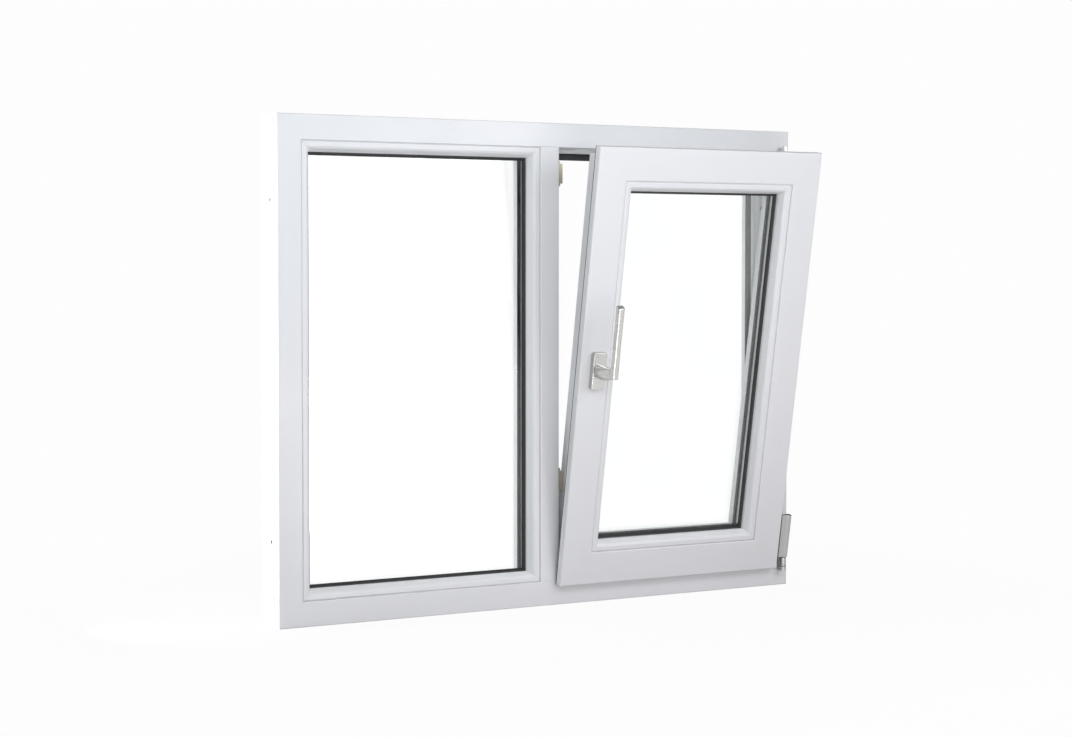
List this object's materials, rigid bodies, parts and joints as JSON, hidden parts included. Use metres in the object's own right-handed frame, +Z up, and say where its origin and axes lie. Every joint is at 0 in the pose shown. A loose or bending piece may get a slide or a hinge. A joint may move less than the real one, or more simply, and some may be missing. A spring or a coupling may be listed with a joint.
{
  "type": "tilt and turn window",
  "caption": "Two-light plastic window: a fixed light beside an inward tilt-and-turn sash with handle, stay arm, seals, locks and sealed glass.",
  "frame": {"origin": "middle of the underside of the outer frame, at mid depth of the profile", "axes": "+X to the right as seen from the room, +Y from the room to the outside, +Z up"},
  "size_m": [1.1, 0.2496, 0.9],
  "materials": {
    "frame_pvc": "white PVC, satin gloss",
    "sash_pvc": "white PVC, satin gloss",
    "bead_pvc": "white PVC, satin gloss",
    "trim_plastic": "white moulded plastic",
    "galvanised_steel": "galvanised, dull",
    "glass": "clear float glass",
    "spacer_aluminium": "matt",
    "sealant": "matt black",
    "seal_rubber": "matt black",
    "packer_plastic": "moulded blue plastic",
    "striker_brass": "yellow passivated zinc",
    "bright_steel": "bright zinc plated",
    "hinge_metal": "satin silver coated",
    "hardware_steel": "satin zinc plated",
    "handle_metal": "satin anodised",
    "gear_brass": "machined"
  },
  "bodies": {
    "frame": {"frame_head": "frame_pvc", "frame_sill": "frame_pvc", "frame_jamb_left": "frame_pvc", "frame_jamb_right": "frame_pvc", "mullion": "frame_pvc", "frame_reinforcement": "galvanised_steel", "mullion_connectors": "galvanised_steel", "fixed_glass_inner": "glass", "fixed_glass_outer": "glass", "fixed_spacer": "spacer_aluminium", "fixed_edge_sealant": "sealant", "fixed_beads": "bead_pvc", "fixed_gasket_inner": "seal_rubber", "fixed_gasket_outer": "seal_rubber", "fixed_packers": "packer_plastic", "frame_seal": "seal_rubber", "strikers": "striker_brass", "striker_screws": "striker_brass", "drain_caps": "trim_plastic", "pivot_bearing": "hinge_metal", "pivot_pin": "bright_steel", "stay_bearing": "hinge_metal", "stay_bearing_pin": "bright_steel", "bearing_screws": "bright_steel"},
    "barrel": {"pivot_barrel": "hinge_metal"},
    "sash": {"sash_top_rail": "sash_pvc", "sash_bottom_rail": "sash_pvc", "sash_stile_left": "sash_pvc", "sash_stile_right": "sash_pvc", "sash_reinforcement": "galvanised_steel", "sash_glass_inner": "glass", "sash_glass_outer": "glass", "sash_spacer": "spacer_aluminium", "sash_edge_sealant": "sealant", "sash_beads": "bead_pvc", "sash_gasket_inner": "seal_rubber", "sash_gasket_outer": "seal_rubber", "sash_packers": "packer_plastic", "sash_seal": "seal_rubber", "corner_hinge": "hardware_steel", "corner_hinge_cap": "hinge_metal", "lock_faceplates": "hardware_steel", "corner_drives": "hardware_steel", "stay_guide": "hardware_steel", "gearbox_case": "hardware_steel", "handle_rosette": "handle_metal", "handle_screws": "bright_steel"},
    "stay_arm": {"stay_arm": "hardware_steel", "stay_arm_pin": "bright_steel"},
    "handle": {"handle_lever": "handle_metal", "handle_spindle": "bright_steel", "gearbox_pinion": "gear_brass"},
    "side_rod": {"lock_rod_side": "hardware_steel", "side_cams": "hardware_steel"},
    "top_rod": {"lock_rod_top": "hardware_steel", "top_cam": "hardware_steel"},
    "bottom_rod": {"lock_rod_bottom": "hardware_steel", "bottom_cam": "hardware_steel"}
  },
  "joints": [
    {"name": "turn", "type": "hinge", "parent": "frame", "child": "barrel", "pos_m": [0.531, -0.048, 0.042], "axis": [0, 0, 1], "range_deg": [0, 90]},
    {"name": "tilt", "type": "hinge", "parent": "barrel", "child": "sash", "pos_m": [0.531, -0.045, 0.042], "axis": [1, 0, 0], "range_deg": [-9.8, 0]},
    {"name": "stay_arm_swing", "type": "hinge", "parent": "barrel", "child": "stay_arm", "pos_m": [0.531, -0.048, 0.85], "axis": [0, -0.0607, 0.9982], "range_deg": [-26.88, 0]},
    {"name": "handle_turn", "type": "hinge", "parent": "sash", "child": "handle", "pos_m": [0.0475, -0.12233, 0.44268], "axis": [0, 0.9854, 0.1702], "range_deg": [0, 180]},
    {"name": "side_rod_slide", "type": "slide", "parent": "sash", "child": "side_rod", "axis": [0, -0.1702, 0.9854], "range_m": [0, 0.03001]},
    {"name": "top_rod_slide", "type": "slide", "parent": "sash", "child": "top_rod", "axis": [1, 0, 0], "range_m": [0, 0.03001]},
    {"name": "bottom_rod_slide", "type": "slide", "parent": "sash", "child": "bottom_rod", "axis": [-1, 0, 0], "range_m": [0, 0.03001]}
  ],
  "couplings": [
    {"joint": "stay_arm_swing", "follows": "tilt", "ratio": 2.742},
    {"joint": "side_rod_slide", "follows": "handle_turn", "m_per_rad": 0.0095493},
    {"joint": "top_rod_slide", "follows": "handle_turn", "m_per_rad": 0.0095493},
    {"joint": "bottom_rod_slide", "follows": "handle_turn", "m_per_rad": 0.0095493}
  ]
}
